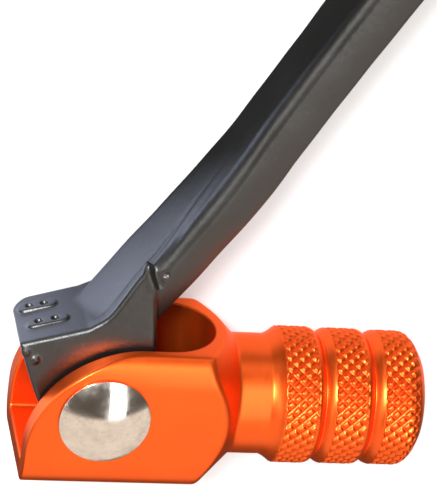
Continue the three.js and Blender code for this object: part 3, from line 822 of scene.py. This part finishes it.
def nickel_plate():
    """Nickel plating with handling haze, tiny pits and hairline scratches."""
    n = Nodes("nickel_plate")
    haze = n.noise(420, 6.0, roughness=0.72)
    scratch = n.noise(1500, 2.0, (1.0, 7.0, 1.0))
    pits = n.spread(n.cells(2600).outputs["Distance"], 0.0, 1.0, 0.0, 0.35)
    normal = n.bump(scratch, 0.05, 0.00006, n.bump(pits, 0.05, 0.00004, n.bump(haze, 0.10, 0.0001)))
    colour = n.ramp(haze, (0.35, (0.66, 0.61, 0.55)), (0.6, (0.82, 0.77, 0.71)))
    return n.shade(Base_Color=colour, Metallic=1.0, Normal=normal,
                   Roughness=n.spread(haze, 0.22, 0.11, 0.35, 0.62))


def zinc_plate(name="zinc_plate", colour=((0.50, 0.51, 0.52), (0.66, 0.67, 0.68))):
    """Bright zinc or drawn steel with cloudy tone and a fine directional grain."""
    n = Nodes(name)
    cloud = n.noise(260, 5.0)
    grain = n.noise(2400, 2.0, (1.0, 1.0, 5.0))
    normal = n.bump(grain, 0.08, 0.00008, n.bump(cloud, 0.08, 0.0002))
    tone = n.ramp(cloud, (0.35, colour[0]), (0.65, colour[1]))
    return n.shade(Base_Color=tone, Metallic=1.0, Normal=normal,
                   Roughness=n.spread(cloud, 0.24, 0.42, 0.35, 0.65))


def sintered_bronze():
    n = Nodes("sintered_bronze")
    pores = n.noise(3200, 5.0, roughness=0.75)
    tone = n.ramp(pores, (0.35, (0.22, 0.12, 0.05)), (0.6, (0.58, 0.36, 0.16)))
    return n.shade(Base_Color=tone, Metallic=1.0, Roughness=n.spread(pores, 0.55, 0.32, 0.35, 0.65),
                   Normal=n.bump(pores, 0.25, 0.0001))


# ------------------------------------------------------------------ stage, lights and camera
def plane(name, corners, material):
    mesh = bpy.data.meshes.new(name)
    mesh.from_pydata([tuple(c) for c in corners], [], [(0, 1, 2, 3)])
    mesh.materials.append(material)
    obj = bpy.data.objects.new(name, mesh)
    bpy.context.scene.collection.objects.link(obj)
    return obj


def floor_material():
    n = Nodes("pale_floor")
    paper = n.noise(60, 3.0)
    colour = n.ramp(paper, (0.0, (0.56, 0.56, 0.56)), (1.0, (0.60, 0.60, 0.60)))
    return n.shade(
        Base_Color=colour, Roughness=1.0, Specular_IOR_Level=0.0,
        Emission_Color=(1, 1, 1, 1), Emission_Strength=0.34,
    )


def table_glow():
    """What gloss sees below: a grey table with painted reflections, a cool pool of light painted beside the
    arm and a warm one by the tip.
    """
    n = Nodes("table_glow")
    # Painted light: a bright cool pool beside the arm, seen only in reflections.
    painted_cool_pool = n.ramp(n.pool((-0.094, -0.114, 0), (0.052, 0.052, 0.052)),
                    (0.0, (0.05, 0.05, 0.05)), (0.8, (3.8, 4.1, 5.3)))
    # Painted light: a warm pool by the tip, seen only in reflections.
    painted_warm_pool = n.ramp(n.pool((-0.004, -0.122, 0), (0.036, 0.038, 0.055)),
                      (0.0, (0, 0, 0)), (0.2, (0.95, 0.76, 0.70)))
    glow = n.add("ShaderNodeVectorMath", operation="ADD")
    n.give(painted_cool_pool, glow.inputs[0])
    n.give(painted_warm_pool, glow.inputs[1])
    return n.shade(Base_Color=(0.03, 0.03, 0.03, 1), Roughness=1.0, Specular_IOR_Level=0.0,
                   Emission_Color=glow.outputs["Vector"], Emission_Strength=1.0)


def glowing(name, colour, strength):
    n = Nodes(name)
    return n.shade(Base_Color=(0, 0, 0, 1), Specular_IOR_Level=0.0,
                   Emission_Color=(*colour, 1), Emission_Strength=strength)


def area_light(name, place, target, width, height, brightness, colour=(1, 1, 1)):
    """A softbox facing the target. brightness is what a mirror would show of it."""
    data = bpy.data.lights.new(name, "AREA")
    data.shape, data.size, data.size_y = "RECTANGLE", width, height
    data.energy, data.color = brightness * np.pi * width * height, colour
    obj = bpy.data.objects.new(name, data)
    obj.location = place
    back = (Vector(place) - Vector(target)).normalized()
    side = Vector((0, 1, 0)).cross(back).normalized()
    obj.rotation_euler = Matrix((side, back.cross(side), back)).transposed().to_euler()
    bpy.context.scene.collection.objects.link(obj)
    return obj


def level(name, size, height, material):
    corners = [(-size, -size, height), (size, -size, height), (size, size, height), (-size, size, height)]
    return plane(name, corners, material)


def studio_world():
    """Even soft light for the surfaces; a dim warm room where gloss looks past the cards."""
    world = bpy.data.worlds.new("studio")
    world.use_nodes = True
    tree = world.node_tree
    soft, mix = tree.nodes["Background"], tree.nodes.new("ShaderNodeMixShader")
    room, path = tree.nodes.new("ShaderNodeBackground"), tree.nodes.new("ShaderNodeLightPath")
    soft.inputs["Color"].default_value, soft.inputs["Strength"].default_value = (1, 1, 1, 1), 0.36
    room.inputs["Color"].default_value, room.inputs["Strength"].default_value = (1.0, 0.82, 0.66, 1), 0.11
    tree.links.new(path.outputs["Is Glossy Ray"], mix.inputs[0])
    tree.links.new(soft.outputs[0], mix.inputs[1])
    tree.links.new(room.outputs[0], mix.inputs[2])
    tree.links.new(mix.outputs[0], tree.nodes["World Output"].inputs["Surface"])
    bpy.context.scene.world = world


def wall(name, left, right, low_edge, high_edge, colour, strength):
    """A glowing card between two (y, z) edges. It lights the piece and is hidden from the camera."""
    corners = [(left, *low_edge), (right, *low_edge), (right, *high_edge), (left, *high_edge)]
    card = plane(name, corners, glowing(name, colour, strength))
    card.visible_camera = False


def stage():
    """Floor and lights. The floor shows only to the camera. Gloss sees the table in its place."""
    floor_z = min(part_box(n)[0][2] for n in ("tip_body", "lever_arm")) - FLOOR_GAP
    floor = level("floor", STAGE_HALF, floor_z, floor_material())
    floor.visible_glossy = floor.visible_diffuse = False
    # The table carries painted pools of light that only reflections see.
    table = level("table", STAGE_HALF, floor_z + TABLE_LIFT, table_glow())
    table.visible_camera = table.visible_shadow = table.visible_diffuse = False
    # Warm card beyond the foot end, seen in the rivet, the flats and the arm's upper face.
    wall("warm_card", -0.7, 0.8, (-0.32, 0.52), (-0.95, 0.06), (1.0, 0.86, 0.74), 0.98)
    wall("back_card", -0.25, 0.6, (0.45, -0.01), (0.45, 0.22), (1.0, 0.90, 0.86), 1.1)
    area_light("edge_light", (-0.46, -0.045, 0.41), (-0.02, -0.08, 0.0), 0.14, 0.40, 3.2, (1.0, 0.96, 0.88))
    area_light("softbox", (0.157, 0.03, 0.52), (0.157, 0.03, 0.0), 0.19, 0.70, 3.4)
    area_light("key", (-0.55, 0.75, 1.30), (-0.03, -0.10, 0.0), 0.34, 0.34, 95.0)
    studio_world()
    bpy.context.scene.view_settings.view_transform = "Standard"


def camera():
    """Looks down on the foot end from the hub's side, the arm leaving the picture at the top."""
    right = Vector((0.9754, 0.1400, 0.1705))
    up = Vector((-0.0437, 0.8801, -0.4727))
    back = right.cross(up)
    data = bpy.data.cameras.new("camera")
    data.sensor_fit, data.sensor_width, data.lens = "HORIZONTAL", 36.0, 225.8
    data.clip_start, data.clip_end = 0.01, 20
    obj = bpy.data.objects.new("camera", data)
    rotation = Matrix((right, up, back)).transposed().to_4x4()
    place = Vector(TIP_ORIGIN) + Vector((-55.02, 189.01, 318.19)) * MM
    obj.matrix_world = Matrix.Translation(place) @ rotation
    bpy.context.scene.collection.objects.link(obj)
    bpy.context.scene.camera = obj


# ------------------------------------------------------------------ assembly
lever(black_powder_coat())
tip_body(orange_anodised())
rivet(nickel_plate())
plated = zinc_plate()
pivot_rings(plated, sintered_bronze())
spring(zinc_plate("spring_wire", ((0.26, 0.26, 0.27), (0.40, 0.40, 0.41))))
pinch_parts(zinc_plate("bolt_zinc", ((0.52, 0.54, 0.56), (0.70, 0.72, 0.74))), plated)
stage()
camera()
